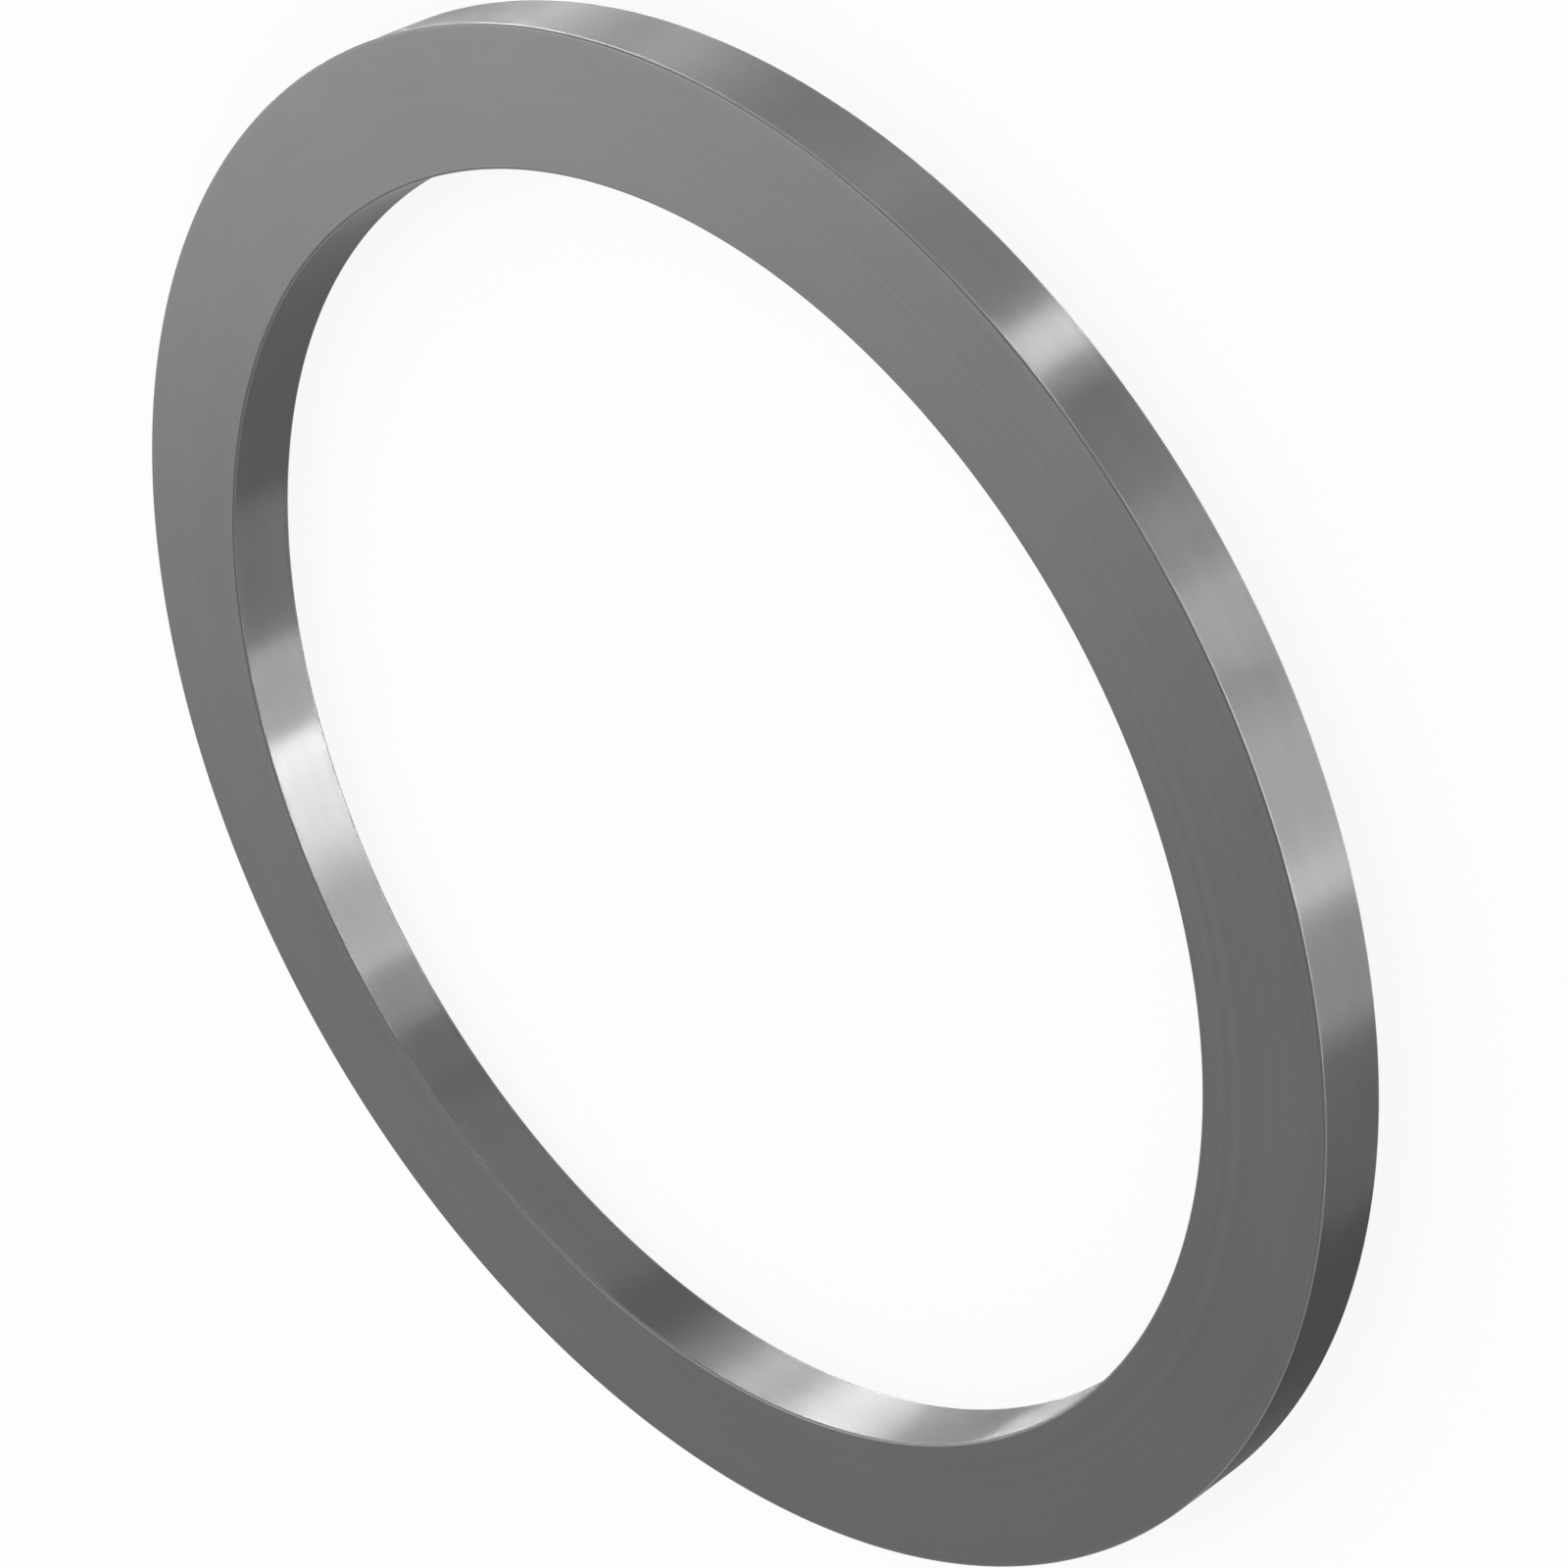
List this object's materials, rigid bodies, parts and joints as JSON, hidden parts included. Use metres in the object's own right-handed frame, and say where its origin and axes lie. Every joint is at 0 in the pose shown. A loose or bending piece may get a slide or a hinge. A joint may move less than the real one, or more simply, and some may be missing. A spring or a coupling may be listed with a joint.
{
  "type": "sealing washer",
  "caption": "Flat round steel ring with a plain bore and two flat faces, clamped between a threaded fitting and a hydraulic port to seal the joint.",
  "frame": {"origin": "centre of the bore on the lower sealing face, where the washer lies on a surface", "axes": "+Z along the bore axis, from the lower sealing face to the upper one; X and Y are two radial directions, all alike"},
  "size_m": [0.0322, 0.0322, 0.0015],
  "materials": {
    "steel": "satin"
  },
  "bodies": {
    "root": {"sealing_washer": "steel"}
  },
  "joints": []
}
